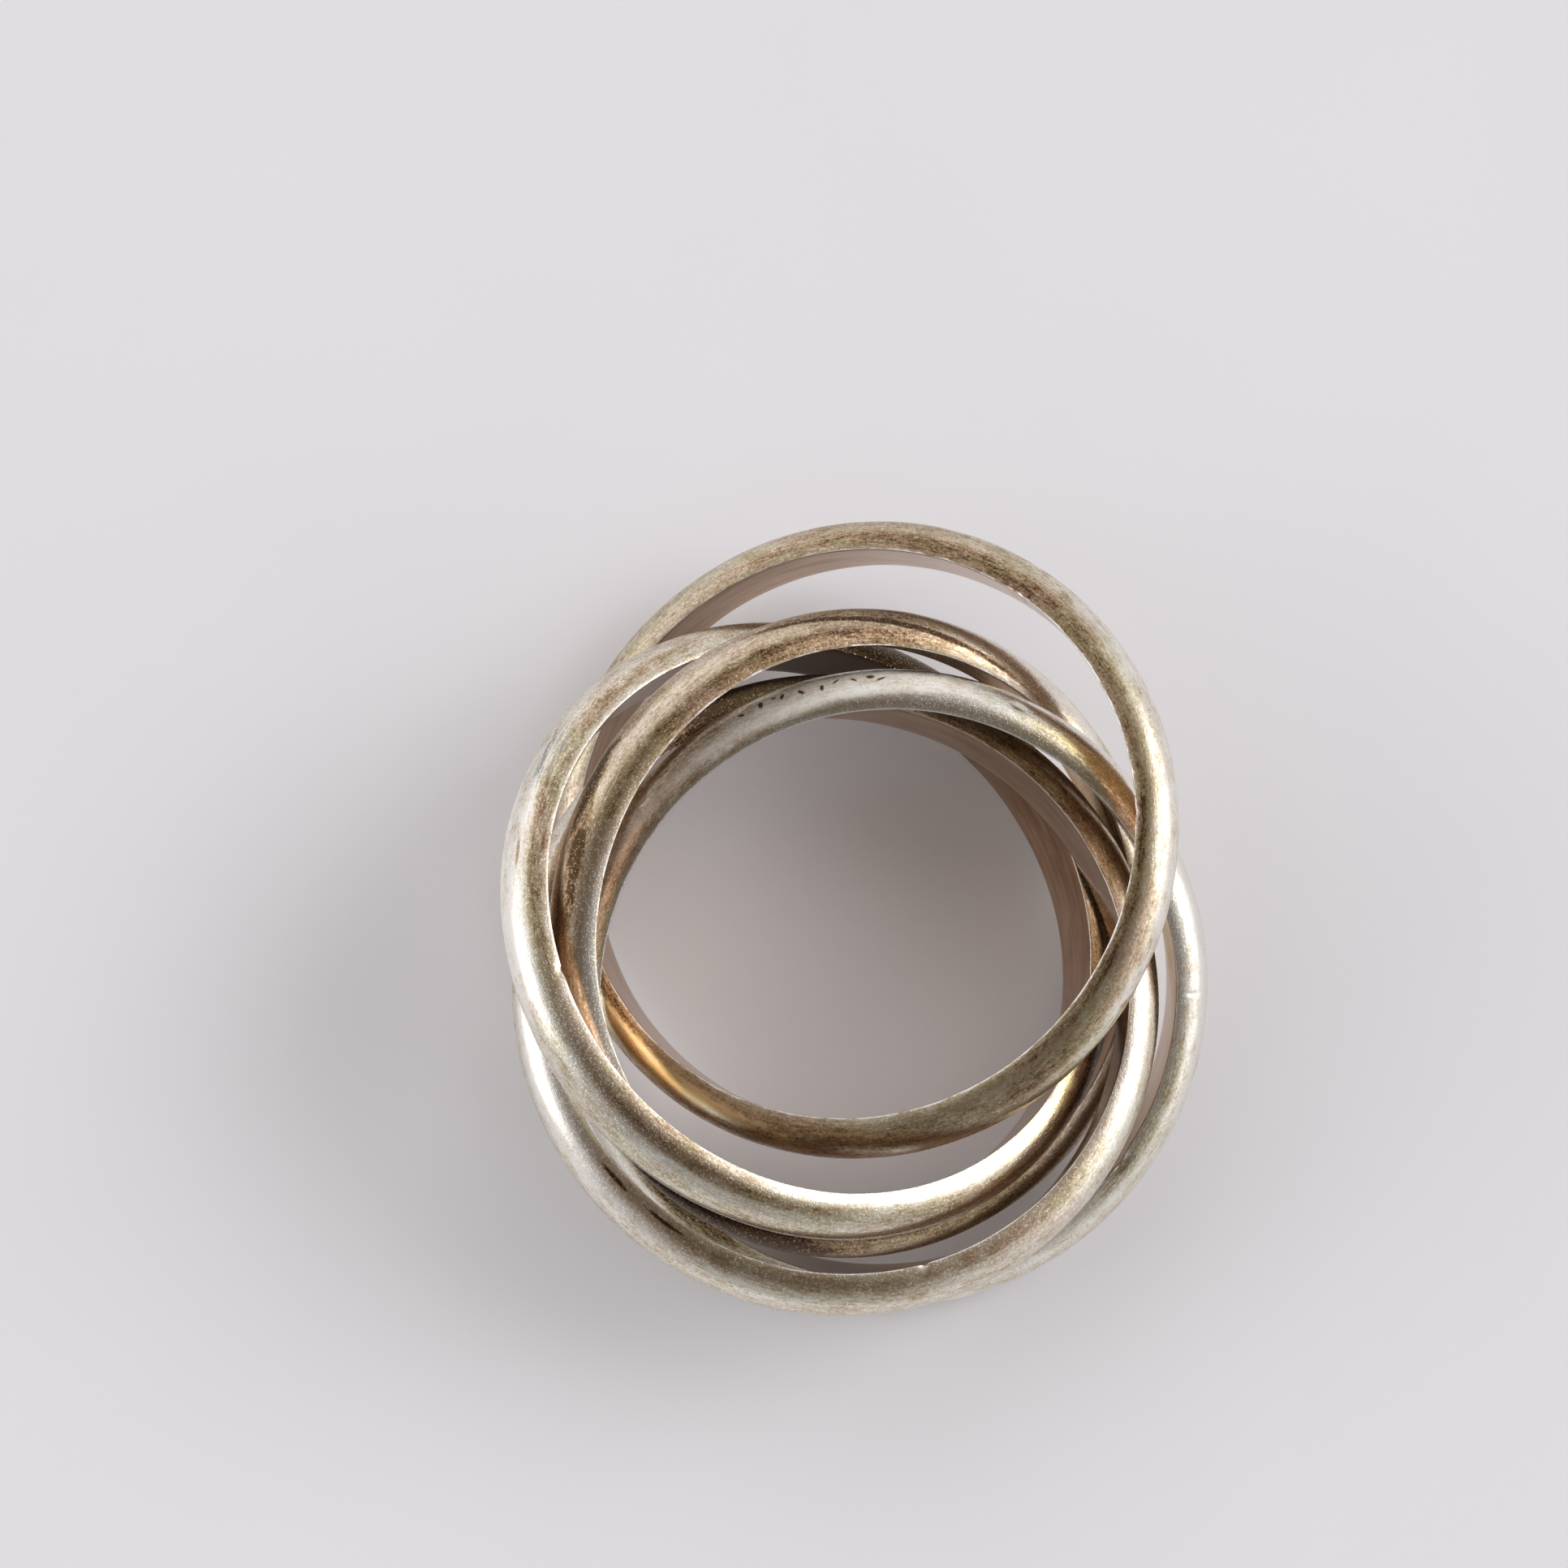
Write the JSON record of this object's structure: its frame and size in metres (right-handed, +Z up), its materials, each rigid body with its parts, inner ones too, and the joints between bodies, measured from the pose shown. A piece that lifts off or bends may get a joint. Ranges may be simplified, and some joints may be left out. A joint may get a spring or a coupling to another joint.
{
  "type": "rolling ring",
  "caption": "Finger ring of linked half-round silver bands that each turn freely through the others, lying on its side.",
  "frame": {"origin": "on the table, under the middle of the ring's bounding box", "axes": "+Z up from the table and through the finger hole, +X to the picture's right, +Y to the picture's top"},
  "size_m": [0.023, 0.026, 0.0095],
  "materials": {
    "top_silver": "satin sterling silver under an even brown tarnish",
    "left_silver": "satin sterling silver, worn bright, with light yellow tarnish",
    "middle_silver": "satin sterling silver with warm yellow-brown tarnish",
    "right_silver": "satin sterling silver, pale, with small dark pits",
    "bottom_silver": "satin sterling silver, pale, with light grey-green tarnish"
  },
  "bodies": {
    "top_band": {"top_band": "top_silver"},
    "left_band": {"left_band": "left_silver"},
    "middle_band": {"middle_band": "middle_silver"},
    "right_band": {"right_band": "right_silver"},
    "bottom_band": {"bottom_band": "bottom_silver"}
  },
  "joints": [
    {"name": "top_turn", "type": "hinge", "parent": "middle_band", "child": "top_band", "pos_m": [0.0001, 0.0025, 0.00416], "axis": [-0.322, 0.0481, 0.9455], "continuous": true},
    {"name": "left_turn", "type": "hinge", "parent": "middle_band", "child": "left_band", "pos_m": [-0.00145, -0.00045, 0.00477], "axis": [0.3121, 0.2351, 0.9205], "continuous": true},
    {"name": "right_turn", "type": "hinge", "parent": "middle_band", "child": "right_band", "pos_m": [0.001, -0.0025, 0.00369], "axis": [0.0216, -0.2748, 0.9613], "continuous": true},
    {"name": "bottom_turn", "type": "hinge", "parent": "middle_band", "child": "bottom_band", "pos_m": [-0.00065, -0.00255, 0.00465], "axis": [0.0708, 0.0992, 0.9925], "continuous": true}
  ]
}
